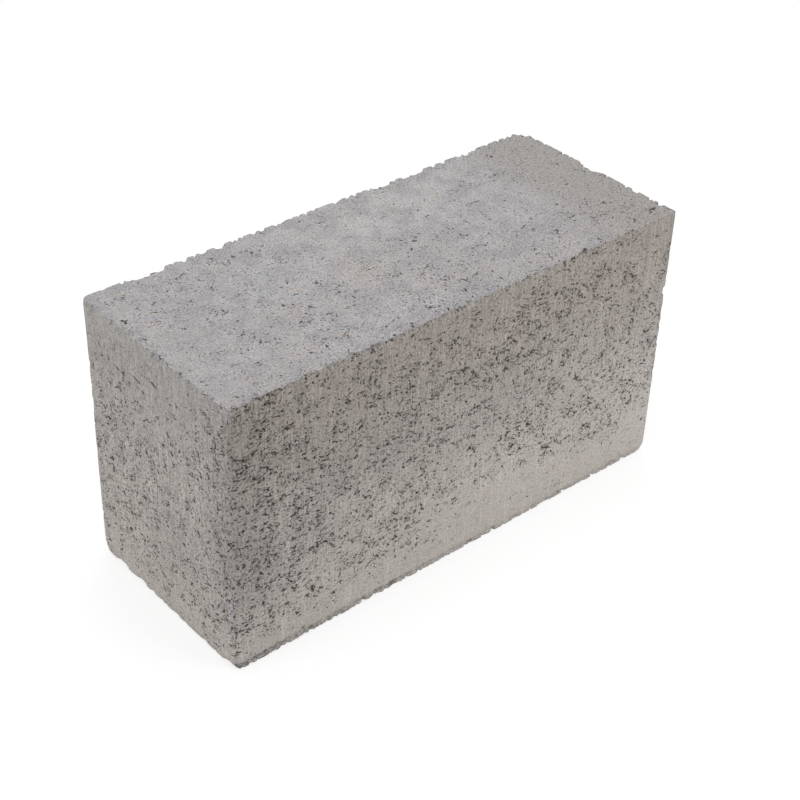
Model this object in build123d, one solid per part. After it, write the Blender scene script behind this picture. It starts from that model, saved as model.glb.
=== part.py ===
"""A solid concrete brick, pressed from a dry mix in one piece and standing on its bed face."""

import os

from build123d import *

# Overall size of the brick, in millimetres
length = 295.0
width = 120.0
height = 160.0

# Upright corners, rounded by the corners of the mould box
corner_radius = 5.0

# Top arris, eased where the tamper shoe presses the mix down
top_radius = 1.5

# Foot of the brick: a strip all round where the mould's fin is broken off, deeper on the sides than the ends
strip_height = 4.0
side_setback = 1.5
end_setback = 0.5

# Soft turn of each face into the broken strip below it
turn_radius = 6.0


def arris_at(body, level):
    """The edges that run round the body at one height."""
    nearest = body.edges().group_by(lambda edge: round(abs(edge.center().Z - level), 3))
    return nearest[0]


def brick_body():
    """The mould's full outline from the strip to the top, drawn in to the smaller outline of the foot."""
    foot_outline = RectangleRounded(length - 2 * end_setback, width - 2 * side_setback, corner_radius)
    full_outline = RectangleRounded(length, width, corner_radius)
    levels = [
        foot_outline,
        Pos(0, 0, strip_height) * full_outline,
        Pos(0, 0, height) * full_outline,
    ]
    body = loft(levels, ruled=True)
    body = fillet(arris_at(body, height), top_radius)
    return fillet(arris_at(body, strip_height), turn_radius)


os.makedirs("parts", exist_ok=True)
export_step(brick_body(), "parts/brick.step")
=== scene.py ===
import math
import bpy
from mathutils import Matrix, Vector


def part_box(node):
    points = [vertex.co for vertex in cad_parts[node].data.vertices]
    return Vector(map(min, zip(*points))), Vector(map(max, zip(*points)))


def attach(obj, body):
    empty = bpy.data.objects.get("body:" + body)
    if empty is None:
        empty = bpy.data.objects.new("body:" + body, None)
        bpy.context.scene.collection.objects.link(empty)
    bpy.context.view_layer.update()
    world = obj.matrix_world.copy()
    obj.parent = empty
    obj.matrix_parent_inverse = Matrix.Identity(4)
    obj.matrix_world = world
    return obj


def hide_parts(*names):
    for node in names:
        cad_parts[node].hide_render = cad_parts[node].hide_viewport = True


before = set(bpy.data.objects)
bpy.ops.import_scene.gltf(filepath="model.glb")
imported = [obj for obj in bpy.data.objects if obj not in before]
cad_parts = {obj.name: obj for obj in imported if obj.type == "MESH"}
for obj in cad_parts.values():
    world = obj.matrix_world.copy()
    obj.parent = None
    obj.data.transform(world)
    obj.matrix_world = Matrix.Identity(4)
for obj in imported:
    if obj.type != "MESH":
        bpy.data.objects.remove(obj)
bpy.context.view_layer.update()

from types import SimpleNamespace

import bpy
from mathutils import Matrix, Vector

# The brick's body
# One solid block of concrete, pressed from an earth-dry mix of cement, sand and fine gravel in a steel mould.
# The mould is drawn off upwards while the mix is green, so its corners shape the upright edges of the brick.
# Some room is left inside the CAD box, because thinning the mesh later moves its points a little.
MM = 0.001
room = 0.15 * MM
hair = 0.01 * MM
low, high = (Vector(corner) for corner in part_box("brick"))
low += Vector((room, room, 0.0))
high -= Vector((room, room, room))
half = (high - low) / 2
corner_radii = {(-1, -1): 3.5, (-1, 1): 2.2, (1, -1): 0.8, (1, 1): 6.0}  # in mm, by the side in X and Y
arris_radius = 0.4
corner_facets = 8
arris_facets = 3
skin_step = 0.62

bpy.ops.object.select_all(action="DESELECT")
bpy.ops.mesh.primitive_cube_add(size=1.0, location=(low + high) / 2, scale=high - low)
brick = bpy.context.object
brick.name = "pressed_brick"
bpy.ops.object.transform_apply(location=True, rotation=True, scale=True)


def round_edges(piece, radius, facets, chosen):
    """Rounds the edges of a piece whose two ends both pass a test."""
    mesh = piece.data
    for elements in (mesh.vertices, mesh.edges, mesh.polygons):
        elements.foreach_set("select", [False] * len(elements))
    for edge in mesh.edges:
        edge.select = all(chosen(mesh.vertices[index].co) for index in edge.vertices)
    bpy.ops.object.mode_set(mode="EDIT")
    bpy.ops.mesh.select_mode(type="EDGE")
    bpy.ops.mesh.bevel(offset=radius * MM, offset_type="OFFSET", segments=facets, affect="EDGES")
    bpy.ops.object.mode_set(mode="OBJECT")


for (side_x, side_y), radius in corner_radii.items():
    round_edges(brick, radius, corner_facets,
                lambda end: end.x * side_x > half.x - hair and end.y * side_y > half.y - hair)
round_edges(brick, arris_radius, arris_facets, lambda end: end.z > high.z - hair)
round_edges(brick, arris_radius, arris_facets, lambda end: end.z < low.z + hair)


def finish_with(piece, kind, **settings):
    """Adds a modifier to a piece, sets it and applies it."""
    modifier = piece.modifiers.new(kind.lower(), kind)
    for name, value in settings.items():
        setattr(modifier, name, value)
    bpy.context.view_layer.objects.active = piece
    bpy.ops.object.modifier_apply(modifier=modifier.name)


finish_with(brick, "REMESH", mode="VOXEL", voxel_size=skin_step * MM)

# The brick's skin
# Where the mould slides off, paste smears into close plates with upright drag marks, and between them the
# skin tears into rough hollows with pores and slits. Paste gathers at the foot, where the skin is close, and
# the tamper closes the top. Every size in the relief is in millimetres.
NOISE = "ShaderNodeTexNoise"
CALC = "ShaderNodeMath"
VECTOR = "ShaderNodeVectorMath"
AXES = "ShaderNodeSeparateXYZ"
MIX = "ShaderNodeMix"
RAMP = "ShaderNodeMapRange"  # inputs: 0 a value, 1 and 2 the range it runs over, 3 and 4 what that turns into
SMOOTH = {"interpolation_type": "SMOOTHSTEP"}
PLUS = {"operation": "ADD"}
MINUS = {"operation": "SUBTRACT"}
TIMES = {"operation": "MULTIPLY"}
SIZE_OF = {"operation": "ABSOLUTE"}
LARGER_OF = {"operation": "MAXIMUM"}
SMALLER_OF = {"operation": "MINIMUM"}
DISTANCE = {"operation": "DISTANCE", "out": 1}
LENGTH = {"operation": "LENGTH", "out": 1}


def add(tree, kind, inputs=None, out=0, **settings):
    """Adds a node with its properties, its inputs filled with links or plain values, and gives an output."""
    node = tree.nodes.new(kind)
    for name, value in settings.items():
        setattr(node, name, value)
    for key, value in (inputs or {}).items():
        if isinstance(value, bpy.types.NodeSocket):
            tree.links.new(value, node.inputs[key])
        else:
            node.inputs[key].default_value = value
    return node.outputs[out] if node.outputs else None


def spots(tree, point, size, levels, seed, layers=2.0):
    """Where spots of one kind lie, from 0 between them to 1 where they are full.

    The size is a spot's length in X, Y and Z. The levels are those of a cloud about 0.5, at which a spot
    starts and is full, and the seed moves the cloud, so that no two kinds of spots lie alike.
    """
    share = [1 / (2 * length) for length in size]  # a wave of the cloud is a spot and the gap beside it
    place = add(tree, VECTOR, {0: point, 1: share, 2: (seed, seed, seed)}, operation="MULTIPLY_ADD")
    cloud = add(tree, NOISE, {"Vector": place, "Scale": 1.0, "Detail": layers, "Roughness": 0.55})
    return add(tree, RAMP, {0: cloud, 1: levels[0], 2: levels[1]}, **SMOOTH)


def layered(tree, start, layers):
    """A start value with each field of a list added to it, times that field's amount."""
    total = start
    for field, amount in layers:
        total = add(tree, CALC, {0: field, 1: amount, 2: total}, operation="MULTIPLY_ADD")
    return total


def share_of_reach(tree, point, middle, reach):
    """How far a point lies from a middle, as a share of a reach along X, Y and Z."""
    away = add(tree, VECTOR, {0: point, 1: middle}, **MINUS)
    away = add(tree, VECTOR, {0: away, 1: reach}, operation="DIVIDE")
    return add(tree, VECTOR, {0: away}, **LENGTH)


def lie(tree, point, facing):
    """Where a point lies on the brick: its place, the face it is on and its gaps to the brick's edges."""
    at = SimpleNamespace(point=point)
    at.along_x, at.along_y, at.height = add(tree, AXES, {0: point}).node.outputs
    turn_x, turn_y, at.turn_z = add(tree, AXES, {0: facing}).node.outputs
    turn_x = add(tree, CALC, {0: turn_x}, **SIZE_OF)
    turn_y = add(tree, CALC, {0: turn_y}, **SIZE_OF)
    at.on_end = add(tree, RAMP, {0: turn_x, 1: 0.4, 2: 0.8}, **SMOOTH)
    at.on_side = add(tree, RAMP, {0: turn_y, 1: 0.4, 2: 0.8}, **SMOOTH)
    at.on_top = add(tree, RAMP, {0: at.turn_z, 1: 0.4, 2: 0.85}, **SMOOTH)
    from_middle_x = add(tree, CALC, {0: at.along_x}, **SIZE_OF)
    from_middle_y = add(tree, CALC, {0: at.along_y}, **SIZE_OF)
    at.from_end = add(tree, CALC, {0: half.x / MM, 1: from_middle_x}, **MINUS)
    at.from_side = add(tree, CALC, {0: half.y / MM, 1: from_middle_y}, **MINUS)
    at.from_top = add(tree, CALC, {0: high.z / MM, 1: at.height}, **MINUS)
    at.from_near_end = add(tree, CALC, {0: at.along_x, 1: half.x / MM}, **PLUS)
    at.from_near_side = add(tree, CALC, {0: at.along_y, 1: half.y / MM}, **PLUS)
    at.from_near_corner = layered(tree, at.from_near_end, [(at.from_near_side, 2.0)])
    return at


def foot_paste(tree, at):
    """Close paste at the foot, from 0 to 1: low by the near corner, in humps beyond, thin on the near end."""
    along = add(tree, RAMP, {0: at.from_near_end, 1: 60.0, 2: 170.0}, **SMOOTH)
    humps = spots(tree, at.point, size=(30.0, 30.0, 200.0), levels=(0.38, 0.6), seed=17.3)
    rise = add(tree, CALC, {0: along, 1: humps}, **TIMES)
    start = layered(tree, 26.0, [(along, 15.0), (rise, 18.0)])
    full = layered(tree, start, [(1.0, -21.0), (along, -19.0)])
    cover = add(tree, RAMP, {0: at.from_near_end, 1: 0.5, 2: 5.0, 3: 0.4, 4: 1.0}, **SMOOTH)
    return add(tree, RAMP, {0: at.height, 1: start, 2: full, 4: cover}, **SMOOTH)


tongue_middle = Vector((9.0 - half.x / MM, -half.y / MM, 142.0))
tongue_reach = Vector((9.5, 9.0, 13.0))


def paste_tongue(tree, at):
    """A close tongue of paste that lapped over the skin by the near corner, from 0 to 1."""
    away = share_of_reach(tree, at.point, tongue_middle, tongue_reach)
    return add(tree, RAMP, {0: away, 1: 1.0, 2: 0.7}, **SMOOTH)


def tongue_lip(tree, at):
    """The torn lip under the tongue, from 0 to 1."""
    away = share_of_reach(tree, at.point, tongue_middle, tongue_reach)
    past_lip = add(tree, CALC, {0: away, 1: 1.06}, **MINUS)
    from_lip = add(tree, CALC, {0: past_lip}, **SIZE_OF)
    lip = add(tree, RAMP, {0: from_lip, 1: 0.15, 2: 0.03}, **SMOOTH)
    lip_ends = tongue_middle.z - 8.0
    lip_full = tongue_middle.z - tongue_reach.z
    low_down = add(tree, RAMP, {0: at.height, 1: lip_ends, 2: lip_full}, **SMOOTH)
    torn_bits = spots(tree, at.point, size=(2.2, 2.2, 1.6), levels=(0.36, 0.5), seed=91.0)
    for share in (low_down, torn_bits):
        lip = add(tree, CALC, {0: lip, 1: share}, **TIMES)
    return lip


def scuffs(tree, at, lift=0.0):
    """Three short scuffs in a row, high on the near end, that fall towards the near corner, from 0 to 1."""
    fall = 0.24
    level = layered(tree, at.height, [(at.along_y, -fall)])
    tilted = add(tree, "ShaderNodeCombineXYZ", {0: at.along_x, 1: at.along_y, 2: level})
    deepest = 0.0
    for along_y, height in ((30.0, 133.5), (14.0, 136.0), (-1.0, 141.0)):
        middle = Vector((-half.x / MM, along_y, height + lift - fall * along_y))
        away = share_of_reach(tree, tilted, middle, reach=Vector((6.0, 4.8, 1.0)))
        scuff = add(tree, RAMP, {0: away, 1: 1.0, 2: 0.4}, **SMOOTH)
        deepest = add(tree, CALC, {0: deepest, 1: scuff}, **LARGER_OF)
    ragged = spots(tree, at.point, size=(1.5, 1.5, 1.5), levels=(0.30, 0.50), seed=97.0)
    return add(tree, CALC, {0: deepest, 1: ragged}, **TIMES)


def openness(tree, at):
    """How open the skin is at large: more so by the near corner, less so in close paste and on the top."""
    regions = spots(tree, at.point, size=(28.0, 28.0, 24.0), levels=(0.36, 0.64), seed=23.9)
    near_corner = add(tree, RAMP, {0: at.from_near_corner, 1: 70.0, 2: 5.0}, **SMOOTH)
    under_top = add(tree, RAMP, {0: at.from_top, 1: 30.0, 2: 4.0}, **SMOOTH)
    under_end_top = add(tree, RAMP, {0: at.from_top, 1: 62.0, 2: 8.0}, **SMOOTH)
    past_near_side = add(tree, RAMP, {0: at.from_near_side, 1: 8.0, 2: 45.0}, **SMOOTH)
    for share in (at.on_end, past_near_side):
        under_end_top = add(tree, CALC, {0: under_end_top, 1: share}, **TIMES)
    past_near_end = add(tree, RAMP, {0: at.from_near_end, 1: 12.0, 2: 50.0}, **SMOOTH)
    far_side = add(tree, RAMP, {0: at.from_near_side, 1: 30.0, 2: 85.0}, **SMOOTH)
    top_closed = add(tree, MIX, {0: past_near_end, 2: 1.0, 3: far_side}, data_type="FLOAT")
    top_closed = add(tree, CALC, {0: top_closed, 1: at.on_top}, **TIMES)
    top_patches = spots(tree, at.point, size=(11.0, 11.0, 11.0), levels=(0.42, 0.60), seed=87.0)
    top_patches = add(tree, CALC, {0: top_patches, 1: at.on_top}, **TIMES)
    return layered(tree, 0.0, [
        (regions, 0.014),
        (near_corner, 0.018),
        (foot_paste(tree, at), -0.080),
        (under_top, -0.020),
        (under_end_top, -0.045),
        (at.on_end, 0.003),
        (at.on_top, -0.033),
        (top_closed, -0.018),
        (top_patches, 0.016),
        (paste_tongue(tree, at), -0.03),
        (tongue_lip(tree, at), 0.06),
        (scuffs(tree, at), 0.09),
    ])


def torn(tree, at):
    """Rough hollows between the plates, from 0 to 1, and the level of a cloud at which pores open there."""
    more_open = openness(tree, at)
    start = add(tree, CALC, {0: 0.45, 1: more_open}, **MINUS)
    full = add(tree, CALC, {0: 0.69, 1: more_open}, **MINUS)
    hollow = spots(tree, at.point, size=(4.2, 4.2, 3.0), levels=(start, full), seed=11.7)
    level = layered(tree, 0.646, [(more_open, -0.8), (hollow, -0.057)])
    return hollow, level


def pits(tree, at, level):
    """How deep the pores that show one by one are, from 0 to 1: many small ones and a few wide ones."""
    small_levels = [add(tree, CALC, {0: level, 1: step}, **PLUS) for step in (0.010, 0.038)]
    small = spots(tree, at.point, size=(0.92, 0.92, 0.64), levels=small_levels, seed=3.1)
    wide_levels = [add(tree, CALC, {0: level, 1: step}, **PLUS) for step in (0.055, 0.095)]
    wide = spots(tree, at.point, size=(1.7, 1.7, 1.0), levels=wide_levels, seed=7.7)
    return add(tree, CALC, {0: small, 1: wide}, **LARGER_OF)


def above_strip(tree, at):
    """Height above the pressed strip at the foot of the long sides, which is tall by the near corner."""
    tall = add(tree, RAMP, {0: at.from_near_end, 1: 150.0, 2: 8.0, 3: 2.8, 4: 3.8}, **SMOOTH)
    uneven = spots(tree, at.point, size=(9.0, 9.0, 200.0), levels=(0.3, 0.7), seed=47.1)
    strip_top = layered(tree, tall, [(uneven, 1.0)])
    return add(tree, CALC, {0: at.height, 1: strip_top}, **MINUS)


relief = bpy.data.node_groups.new("concrete_relief", "GeometryNodeTree")
relief.interface.new_socket(name="Mesh", in_out="INPUT", socket_type="NodeSocketGeometry")
relief.interface.new_socket(name="Mesh", in_out="OUTPUT", socket_type="NodeSocketGeometry")
block = add(relief, "NodeGroupInput")
place = add(relief, "GeometryNodeInputPosition")
facing = add(relief, "GeometryNodeInputNormal")
for name, field in (("skin", place), ("facing", facing)):
    block = add(relief, "GeometryNodeStoreNamedAttribute", {"Geometry": block, "Name": name, "Value": field},
                data_type="FLOAT_VECTOR", domain="POINT")
point = add(relief, VECTOR, {0: place, "Scale": 1 / MM}, operation="SCALE")
at = lie(relief, point, facing)

# Faces that are not quite flat, with torn hollows, pores, the lip of the tongue and scuffs
swell = spots(relief, point, size=(50.0, 50.0, 50.0), levels=(0.35, 0.7), seed=5.3, layers=1.0)
hollow, level = torn(relief, at)
pressed_in = [
    (swell, 0.3),
    (hollow, 0.35),
    (pits(relief, at, level), 0.95),
    (tongue_lip(relief, at), 0.5),
    (scuffs(relief, at), 0.5),
]

# The ragged top arris: teeth where grains stay up and notches where they drop out, each running in from the
# edge. Two corners of the top stayed crisp, and the left one of them is blunt at its tip.
rim_reach = 4.0
rim_full = 0.5
from_wall = add(relief, CALC, {0: at.from_end, 1: at.from_side}, **SMALLER_OF)
by_top = add(relief, RAMP, {0: at.from_top, 1: rim_reach, 2: rim_full}, **SMOOTH)
by_wall = add(relief, RAMP, {0: from_wall, 1: rim_reach, 2: rim_full}, **SMOOTH)
rim = add(relief, CALC, {0: by_top, 1: by_wall}, **TIMES)
right_corner = Vector((half.x, -half.y, high.z)) / MM
left_corner = Vector((-half.x, half.y, high.z)) / MM
from_right = add(relief, VECTOR, {0: point, 1: right_corner}, **DISTANCE)
from_left = add(relief, VECTOR, {0: point, 1: left_corner}, **DISTANCE)
for from_crisp, crisp_reach in ((from_right, 13.0), (from_left, 22.0)):
    worn = add(relief, RAMP, {0: from_crisp, 1: 8.0, 2: crisp_reach}, **SMOOTH)
    rim = add(relief, CALC, {0: rim, 1: worn}, **TIMES)
pressed_in.append((add(relief, RAMP, {0: from_left, 1: 3.8, 2: 0.0}, **SMOOTH), 0.6))
by_side = add(relief, CALC, {0: at.from_side, 1: at.from_end}, operation="LESS_THAN")
run = add(relief, MIX, {0: by_side, 2: at.along_y, 3: at.along_x}, data_type="FLOAT")
beside = add(relief, MIX, {0: by_side, 2: at.along_x, 3: at.along_y}, data_type="FLOAT")
edge_point = add(relief, "ShaderNodeCombineXYZ", {0: run, 1: beside, 2: at.height})
teeth = spots(relief, edge_point, size=(1.5, 30.0, 30.0), levels=(0.47, 0.60), seed=31.3)
notches = spots(relief, edge_point, size=(5.0, 30.0, 30.0), levels=(0.54, 0.62), seed=37.9)
pressed_in.append((add(relief, CALC, {0: rim, 1: teeth}, **TIMES), 1.1))
pressed_in.append((add(relief, CALC, {0: rim, 1: notches}, **TIMES), 1.9))

# Two worn upright corners, the near one rounded off further over its middle
from_corner = add(relief, CALC, {0: at.from_end, 1: at.from_side}, **LARGER_OF)
corner = add(relief, RAMP, {0: from_corner, 1: 7.0, 2: 1.0}, **SMOOTH)
same_sides = add(relief, CALC, {0: at.along_x, 1: at.along_y}, **TIMES)
worn_corner = add(relief, CALC, {0: same_sides, 1: 0.0}, operation="GREATER_THAN")
worn_corner = add(relief, CALC, {0: corner, 1: worn_corner}, **TIMES)
crumbled = spots(relief, point, size=(3.5, 3.5, 3.5), levels=(0.50, 0.72), seed=41.7)
pressed_in.append((add(relief, CALC, {0: worn_corner, 1: crumbled}, **TIMES), 0.5))
round_reach = 11.0
round_end = add(relief, RAMP, {0: at.from_near_end, 1: round_reach, 2: 0.0})
round_side = add(relief, RAMP, {0: at.from_near_side, 1: round_reach, 2: 0.0})
near_round = add(relief, CALC, {0: round_end, 1: round_side}, **TIMES)
near_round = add(relief, CALC, {0: near_round, 1: 2.0}, operation="POWER")
for gap, kept, worn in ((at.height, 3.0, 20.0), (at.from_top, 1.0, 15.0)):
    fade = add(relief, RAMP, {0: gap, 1: kept, 2: worn}, **SMOOTH)
    near_round = add(relief, CALC, {0: near_round, 1: fade}, **TIMES)
pressed_in.append((near_round, 1.5))

# A nick in the far right edge
nick_middle = Vector((half.x / MM, -half.y / MM, 110.0))
from_nick = add(relief, VECTOR, {0: point, 1: nick_middle}, **DISTANCE)
pressed_in.append((add(relief, RAMP, {0: from_nick, 1: 3.5, 2: 1.0}, **SMOOTH), 1.0))

# The foot: a groove over a broken strip that turns in along the sides, and ends that turn in softly with a
# wavy edge. The rim of the bed goes in with the walls, so that the bed keeps its plane.
over_strip = above_strip(relief, at)
from_groove = add(relief, CALC, {0: over_strip}, **SIZE_OF)
groove = add(relief, RAMP, {0: from_groove, 1: 2.6, 2: 0.0}, **SMOOTH)
pressed_in.append((add(relief, CALC, {0: at.on_side, 1: groove}, **TIMES), 0.35))
strip = add(relief, RAMP, {0: over_strip, 1: 0.7, 2: -0.9}, **SMOOTH)
crumbs = spots(relief, point, size=(1.4, 1.4, 1.3), levels=(0.44, 0.62), seed=53.3)
chips = spots(relief, point, size=(3.0, 3.0, 8.0), levels=(0.55, 0.68), seed=57.1)
broken = layered(relief, 0.0, [(crumbs, 1.0), (chips, 2.6)])
broken = add(relief, CALC, {0: strip, 1: broken}, **TIMES)
foot_wear = add(relief, RAMP, {0: at.from_near_end, 1: 50.0, 2: 210.0, 3: 1.0, 4: 0.65}, **SMOOTH)
turned_in = add(relief, RAMP, {0: over_strip, 1: 0.0, 2: -4.0})
side_in = layered(relief, 0.0, [(broken, foot_wear), (turned_in, 0.3)])
soft_turn = add(relief, RAMP, {0: at.height, 1: 6.0, 2: 0.0})
soft_turn = add(relief, CALC, {0: soft_turn, 1: 2.0}, operation="POWER")
waves = spots(relief, point, size=(4.5, 4.5, 60.0), levels=(0.40, 0.62), seed=59.9)
wave_fade = add(relief, RAMP, {0: at.height, 1: 6.0, 2: 0.5}, **SMOOTH)
waves = add(relief, CALC, {0: waves, 1: wave_fade}, **TIMES)
end_in = layered(relief, 0.0, [(soft_turn, 0.8), (waves, 1.3)])
bed_reach = 9.0
foot_moves = []
for along, gap, inwards in ((at.along_x, at.from_end, end_in), (at.along_y, at.from_side, side_in)):
    outwards = add(relief, CALC, {0: along}, operation="SIGN")
    near_wall = add(relief, RAMP, {0: gap, 1: bed_reach, 2: 0.0, 3: 0.0, 4: -MM})
    move = add(relief, CALC, {0: outwards, 1: near_wall}, **TIMES)
    foot_moves.append(add(relief, CALC, {0: move, 1: inwards}, **TIMES))

# The whole relief, pressed in from every face but the bed that the brick stands on, and kept inside the room
standing = add(relief, RAMP, {0: at.turn_z, 1: -0.95, 2: -0.7, 3: 0.0, 4: -MM}, **SMOOTH)
depth = layered(relief, 0.0, pressed_in)
depth = add(relief, CALC, {0: depth, 1: standing}, **TIMES)
moved = add(relief, VECTOR, {0: facing, "Scale": depth}, operation="SCALE")
moved = add(relief, VECTOR, {0: moved, 1: place}, **PLUS)
foot_move = add(relief, "ShaderNodeCombineXYZ", {0: foot_moves[0], 1: foot_moves[1]})
moved = add(relief, VECTOR, {0: moved, 1: foot_move}, **PLUS)
moved = add(relief, VECTOR, {0: moved, 1: high}, **SMALLER_OF)
moved = add(relief, VECTOR, {0: moved, 1: low}, **LARGER_OF)
block = add(relief, "GeometryNodeSetPosition", {"Geometry": block, "Position": moved})
add(relief, "NodeGroupOutput", {0: block})
finish_with(brick, "NODES", node_group=relief)

# The mesh thinned to what a library part can carry, with its bed put back on the floor
most_triangles = 192_000
skin_triangles = 2 * len(brick.data.polygons)
finish_with(brick, "DECIMATE", ratio=most_triangles / skin_triangles)
for vertex in brick.data.vertices:
    vertex.co.z = max(vertex.co.z, low.z)
bpy.ops.object.select_all(action="DESELECT")
brick.select_set(True)
bpy.ops.object.shade_smooth()


# The concrete
# Grey cement paste over sand and fine gravel, bare and dry. Matt, with specks of pale and dark grain, faint
# upright drag marks on the sides, a bluish close film on the top, open pores with painted shade in them and a
# few specks of rust.
def linear(code):
    """An sRGB hex colour as linear red, green, blue and alpha."""
    parts = [int(code[start:start + 2], 16) / 255 for start in (1, 3, 5)]
    return [c / 12.92 if c <= 0.04045 else ((c + 0.055) / 1.055) ** 2.4 for c in parts] + [1.0]


concrete = bpy.data.materials.new("concrete_pressed_in_steel_mould")
concrete.use_nodes = True
tree = concrete.node_tree
tree.nodes.clear()
skin = add(tree, "ShaderNodeAttribute", attribute_name="skin", out=1)
facing = add(tree, "ShaderNodeAttribute", attribute_name="facing", out=1)
point = add(tree, VECTOR, {0: skin, "Scale": 1 / MM}, operation="SCALE")
at = lie(tree, point, facing)
hollow, level = torn(tree, at)

# Paste is pale at the foot, and painted light above it makes the sides lighter lower down and towards the far
# end.
# Painted shade darkens the sides and the ends higher up, and the near corner. Bluish film patches lie on the
# end by the near arris, with a painted highlight over the scuffs
clouds = spots(tree, point, size=(26.0, 26.0, 26.0), levels=(0.35, 0.65), seed=61.0)
# Partly painted light: the pale coat covers the real pale paste at the foot, and reaches up to 65 mm by the
# near end and 118 mm by the far end, so the sides get lighter towards the bottom and the far end
paste_and_light_reach = add(tree, RAMP, {0: at.from_near_end, 1: 15.0, 2: 130.0, 3: 65.0, 4: 118.0}, **SMOOTH)
paste_and_light_cover = layered(tree, 0.85, [(at.on_end, -0.3)])
paste_and_painted_light = add(tree, RAMP, {0: at.height, 1: paste_and_light_reach, 2: 5.0, 4: paste_and_light_cover}, **SMOOTH)
# Painted shade: the long sides turn darker from 60 mm up to the top
upper_side_painted_shade = add(tree, RAMP, {0: at.height, 1: 60.0, 2: 150.0}, **SMOOTH)
upper_side_painted_shade = add(tree, CALC, {0: upper_side_painted_shade, 1: at.on_side}, **TIMES)
# Painted shade: the ends turn darker and cooler from 90 mm up to the top
end_upper_painted_shade = add(tree, RAMP, {0: at.height, 1: 90.0, 2: 150.0, 4: 0.5}, **SMOOTH)
end_upper_painted_shade = add(tree, CALC, {0: end_upper_painted_shade, 1: at.on_end}, **TIMES)
edge_film = add(tree, RAMP, {0: at.from_near_side, 1: 11.0, 2: 2.0, 4: 0.6}, **SMOOTH)
film_patches = spots(tree, point, size=(5.0, 5.0, 7.0), levels=(0.46, 0.6), seed=95.0)
for share in (at.on_end, film_patches):
    edge_film = add(tree, CALC, {0: edge_film, 1: share}, **TIMES)
# Painted highlight: a pale bluish copy of the scuffs, 1.7 mm higher, lies along the upper edge of each scuff
scuff_painted_highlight = add(tree, CALC, {0: scuffs(tree, at, lift=1.7), 1: 0.6}, **TIMES)
# Painted shade: darker towards the near corner, more so higher up
corner_shade_cover = add(tree, RAMP, {0: at.height, 1: 10.0, 2: 120.0, 3: 0.08, 4: 0.35}, **SMOOTH)
near_corner_painted_shade = add(tree, RAMP, {0: at.from_near_corner, 1: 45.0, 2: 0.0, 4: corner_shade_cover}, **SMOOTH)
rough = add(tree, CALC, {0: hollow, 1: 0.18}, **TIMES)

# The strip at the foot gets painted shade where it turns in and faces down, and is crumbled, more so by the
# near corner, with rust from grains of iron
over_strip = above_strip(tree, at)
strip = add(tree, RAMP, {0: over_strip, 1: 1.4, 2: -0.8}, **SMOOTH)
strip = add(tree, CALC, {0: strip, 1: at.on_side}, **TIMES)
strip_shade_reach = add(tree, RAMP, {0: at.from_near_end, 1: 110.0, 2: 10.0, 3: 0.35, 4: 1.0}, **SMOOTH)
strip = add(tree, CALC, {0: strip, 1: strip_shade_reach}, **TIMES)
strip_breaks = spots(tree, point, size=(3.0, 3.0, 2.0), levels=(0.26, 0.5), seed=63.0)
# Painted shade on the turned-in strip, in broken patches
strip_painted_shade = add(tree, CALC, {0: strip, 1: strip_breaks}, **TIMES)
strip_painted_shade = add(tree, CALC, {0: strip_painted_shade, 1: 0.18}, **TIMES)
rust_reach = add(tree, RAMP, {0: at.height, 1: 9.0, 2: 4.0, 4: 0.8}, **SMOOTH)
rust = spots(tree, point, size=(0.9, 0.9, 0.7), levels=(0.66, 0.72), seed=65.0)
rust = add(tree, CALC, {0: rust, 1: rust_reach}, **TIMES)

# The tamped top has a bluish film with sandy patches, is palest at the back and warmer at its far end
film = spots(tree, point, size=(34.0, 34.0, 34.0), levels=(0.40, 0.62), seed=67.0)
back_middle = Vector((15.0, half.y / MM, high.z / MM))
from_back = share_of_reach(tree, point, back_middle, reach=Vector((90.0, 70.0, 70.0)))
back_film = add(tree, RAMP, {0: from_back, 1: 1.0, 2: 0.4, 4: 0.4}, **SMOOTH)
mottled = spots(tree, point, size=(6.0, 6.0, 6.0), levels=(0.36, 0.64), seed=68.0)
sandy = spots(tree, point, size=(2.6, 2.6, 2.6), levels=(0.5, 0.8), seed=69.0)
patch_middle = Vector((-27.0, -6.0, high.z / MM))
from_patch = add(tree, VECTOR, {0: point, 1: patch_middle}, **DISTANCE)
sandy_patch = add(tree, RAMP, {0: from_patch, 1: 20.0, 2: 6.0, 4: 0.4}, **SMOOTH)
warm_end = add(tree, RAMP, {0: at.along_x, 1: 85.0, 2: 120.0}, **SMOOTH)
top_coats = [
    (film, "#AEAAA9"),
    (back_film, "#C0BDBC"),
    (mottled, "#A3A1A3"),
    (sandy, "#B3ABA5"),
    (sandy_patch, "#B9B2AB"),
    (warm_end, "#A29E9B"),
]

# Some coats paint light and shade: the pale paste coat is partly painted light, the coats that darken the
# sides and ends higher up, the near corner and the foot strip are painted shade, and the bluish coat over the
# scuffs is a painted highlight
coats = [
    (clouds, "#B2ADA8"),
    (paste_and_painted_light, "#C2BCB6"),
    (upper_side_painted_shade, "#9F9892"),
    (near_corner_painted_shade, "#8D8681"),
    (rough, "#8B8682"),
    (strip_painted_shade, "#858383"),
    (rust, "#9A6E50"),
    (end_upper_painted_shade, "#9C9A98"),
    (edge_film, "#B0B0B4"),
    (scuff_painted_highlight, "#B4B4B7"),
    (at.on_top, "#B1AFB1"),
]
for cover, shade in top_coats:
    coats.append((add(tree, CALC, {0: cover, 1: at.on_top}, **TIMES), shade))
colour = linear("#A6A09C")
for cover, shade in coats:
    colour = add(tree, MIX, {0: cover, 6: colour, 7: linear(shade)}, out=2, data_type="RGBA")

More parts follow.
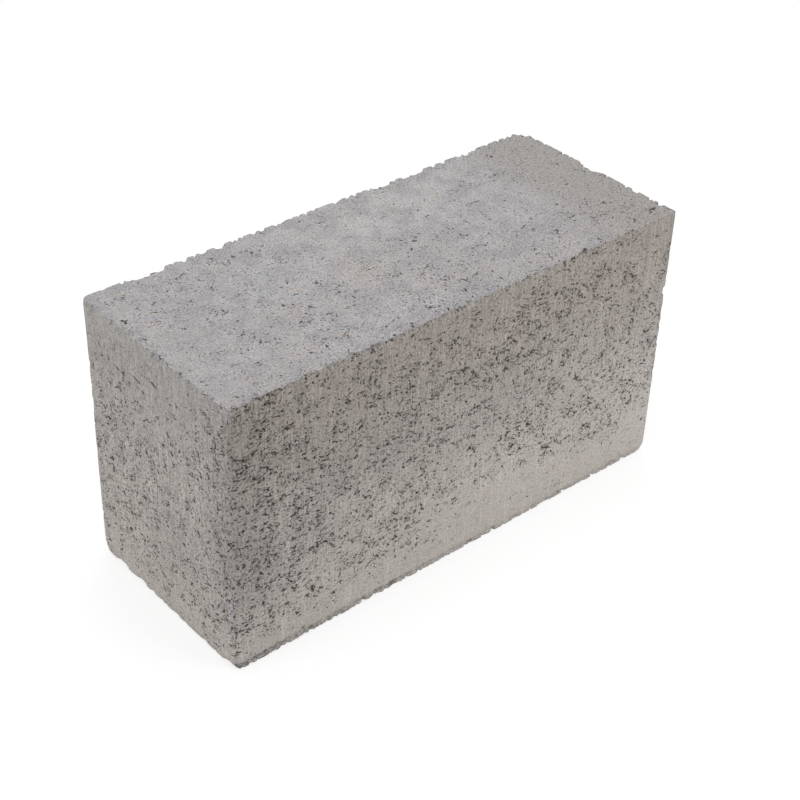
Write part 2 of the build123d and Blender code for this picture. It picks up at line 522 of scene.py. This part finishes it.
# Sand grain, less of it in the paste, and drag marks. Finer sand than half a millimetre would not show, so
# the finest grain is drawn at that size.
grain = spots(tree, point, size=(0.5, 0.5, 0.5), levels=(0.25, 0.75), seed=71.0)
grain_shown = add(tree, RAMP, {0: paste_and_painted_light, 3: 0.54, 4: 0.40})
drag = spots(tree, point, size=(0.6, 0.6, 9.0), levels=(0.25, 0.75), seed=73.0)
for smooth_skin in (at.on_top, paste_and_painted_light):
    drag = add(tree, MIX, {0: smooth_skin, 2: drag, 3: 0.5}, data_type="FLOAT")
streak = spots(tree, point, size=(0.8, 0.8, 13.0), levels=(0.54, 0.70), seed=75.0)
streak_patch = spots(tree, point, size=(20.0, 20.0, 30.0), levels=(0.42, 0.58), seed=77.0)
streak = add(tree, CALC, {0: streak, 1: streak_patch}, **TIMES)
streak = add(tree, MIX, {0: at.on_top, 2: streak, 3: 0.0}, data_type="FLOAT")
lightness = layered(tree, 0.853, [(grain_shown, -0.5), (grain, grain_shown), (drag, 0.28), (streak, 0.18)])
colour = add(tree, VECTOR, {0: colour, "Scale": lightness}, operation="SCALE")

# Painted shade in the openings, coloured dark as shade falls in them: single pores, fine ones between them,
# slits where a hollow starts, crumbs, the lip under the tongue and scuffs
fine_start = layered(tree, level, [(1.0, -0.005), (at.on_top, -0.035)])
fine_full = layered(tree, level, [(1.0, 0.040), (at.on_top, -0.015)])
fine = spots(tree, point, size=(0.62, 0.62, 0.55), levels=(fine_start, fine_full), seed=79.0)
fine = add(tree, CALC, {0: fine, 1: 0.65}, **TIMES)
past_tear = add(tree, CALC, {0: hollow, 1: 0.45}, **MINUS)
from_tear = add(tree, CALC, {0: past_tear}, **SIZE_OF)
tear = add(tree, RAMP, {0: from_tear, 1: 0.18, 2: 0.05}, **SMOOTH)
gape_levels = [add(tree, CALC, {0: level, 1: step}, **MINUS) for step in (0.037, 0.004)]
gape = spots(tree, point, size=(2.0, 2.0, 1.4), levels=gape_levels, seed=83.0)
slit = add(tree, CALC, {0: tear, 1: gape}, **TIMES)
crumbs = spots(tree, point, size=(0.9, 0.9, 0.7), levels=(0.52, 0.60), seed=89.0)
crumbs = add(tree, CALC, {0: crumbs, 1: strip}, **TIMES)
crumbs = add(tree, CALC, {0: crumbs, 1: 0.55}, **TIMES)
# Painted shadow along the torn lip under the overhanging tongue, and painted shade in the scuffs
lip = add(tree, CALC, {0: tongue_lip(tree, at), 1: 0.4}, **TIMES)
scuff = add(tree, CALC, {0: scuffs(tree, at), 1: 0.55}, **TIMES)
pores_and_painted_shade = pits(tree, at, level)
for opening in (fine, slit, crumbs, lip, scuff):
    pores_and_painted_shade = add(tree, CALC, {0: pores_and_painted_shade, 1: opening}, **LARGER_OF)
# Painted shade: every opening is coloured dark, as shade falls into it
colour = add(tree, MIX, {0: pores_and_painted_shade, 6: colour, 7: linear("#504743")}, out=2, data_type="RGBA")

skin_height = layered(tree, 0.0, [(grain, 0.20), (drag, 0.20), (pores_and_painted_shade, -1.1)])
bumps = add(tree, "ShaderNodeBump", {"Height": skin_height, "Distance": MM, "Strength": 1.0})
surface = add(tree, "ShaderNodeBsdfPrincipled", {"Base Color": colour, "Roughness": 0.92, "Normal": bumps})
add(tree, "ShaderNodeOutputMaterial", {"Surface": surface})
brick.data.materials.clear()
brick.data.materials.append(concrete)
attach(brick, "root")
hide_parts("brick")

# The floor
# A plain white sheet that the brick stands on. It shows white to the camera and keeps a faint soft shadow,
# and further off it is plain white.
sheet_width = 8.0
shadow_fades = 0.22  # from here on the sheet turns plain white, in metres from the brick's middle
shadow_ends = 0.42
bpy.ops.object.select_all(action="DESELECT")
bpy.ops.mesh.primitive_plane_add(size=sheet_width, location=(0, 0, low.z))
floor = bpy.context.object
floor.name = "white_floor"


def seen_rays(tree):
    """One for a ray that shows a surface to the eye: from the camera, off a gloss or through a clear pane."""
    rays = add(tree, "ShaderNodeLightPath").node.outputs
    seen = add(tree, CALC, {0: rays["Is Camera Ray"], 1: rays["Is Glossy Ray"]}, **LARGER_OF)
    return add(tree, CALC, {0: seen, 1: rays["Is Transmission Ray"]}, **LARGER_OF)


sheet = bpy.data.materials.new("white_paper")
sheet.use_nodes = True
tree = sheet.node_tree
tree.nodes.clear()
paper = add(tree, "ShaderNodeBsdfDiffuse", {"Color": linear("#E7E7E5")})
dim = add(tree, "ShaderNodeBsdfDiffuse", {"Color": linear("#A0A0A0")})
glow = add(tree, "ShaderNodeEmission", {"Color": (1, 1, 1, 1), "Strength": 0.72})
shadowed = add(tree, "ShaderNodeAddShader", {0: dim, 1: glow})
white = add(tree, "ShaderNodeEmission", {"Color": (1, 1, 1, 1), "Strength": 1.0})
ground = add(tree, "ShaderNodeTexCoord", out=3)
from_brick = add(tree, VECTOR, {0: ground}, **LENGTH)
far = add(tree, RAMP, {0: from_brick, 1: shadow_fades, 2: shadow_ends}, **SMOOTH)
shown = add(tree, "ShaderNodeMixShader", {0: far, 1: shadowed, 2: white})
surface = add(tree, "ShaderNodeMixShader", {0: seen_rays(tree), 1: paper, 2: shown})
add(tree, "ShaderNodeOutputMaterial", {"Surface": surface})
floor.data.materials.append(sheet)

# The light
# A plain soft studio: an even white surround, a wide lamp overhead, and a soft lamp at each side and behind.
# The surround is bright to the eye, and lights the brick only faintly.
surround_light = 0.15
world = bpy.data.worlds.new("studio")
bpy.context.scene.world = world
world.use_nodes = True
tree = world.node_tree
tree.nodes.clear()
strength = add(tree, RAMP, {0: seen_rays(tree), 3: surround_light, 4: 1.0})
surround = add(tree, "ShaderNodeBackground", {"Color": (1, 1, 1, 1), "Strength": strength})
add(tree, "ShaderNodeOutputWorld", {"Surface": surround})

brick_middle = (low + high) / 2
lamps = {  # each with its place and width in metres, and its watts
    "overhead": ((0.0, 0.0, 1.6), 1.5, 16.2),
    "left": ((-1.5, 0.1, 0.6), 1.2, 11.0),
    "right": ((0.22, -0.64, 0.24), 0.3, 1.75),
    "back": ((0.9, 1.3, 0.7), 1.2, 9.0),
}
for name, (spot, width, watts) in lamps.items():
    bpy.ops.object.light_add(type="AREA", location=spot)
    lamp = bpy.context.object
    lamp.name = name + "_lamp"
    lamp.data.shape = "SQUARE"
    lamp.data.size = width
    lamp.data.energy = watts
    lamp.visible_camera = False
    lamp.rotation_euler = (brick_middle - Vector(spot)).to_track_quat("-Z", "Y").to_euler()

# The camera
# It looks down on the near corner, as the photograph does, with a slight roll.
view_azimuth, view_elevation, view_roll = (math.radians(angle) for angle in (41.785, 35.505, 2.072))
view_distance = 0.8828
aim = Vector((0.0001, -0.0084, 0.0718))
turn = Matrix.Rotation(-view_azimuth, 4, "Z") @ Matrix.Rotation(math.pi / 2 - view_elevation, 4, "X")
turn = turn @ Matrix.Rotation(view_roll, 4, "Z")
bpy.ops.object.camera_add()
camera = bpy.context.object
camera.matrix_world = Matrix.Translation(aim + turn @ Vector((0, 0, view_distance))) @ turn
camera.data.sensor_width = 36.0
camera.data.lens = 74.2
camera.data.clip_start = 0.01
bpy.context.scene.camera = camera
bpy.context.scene.view_settings.view_transform = "Standard"
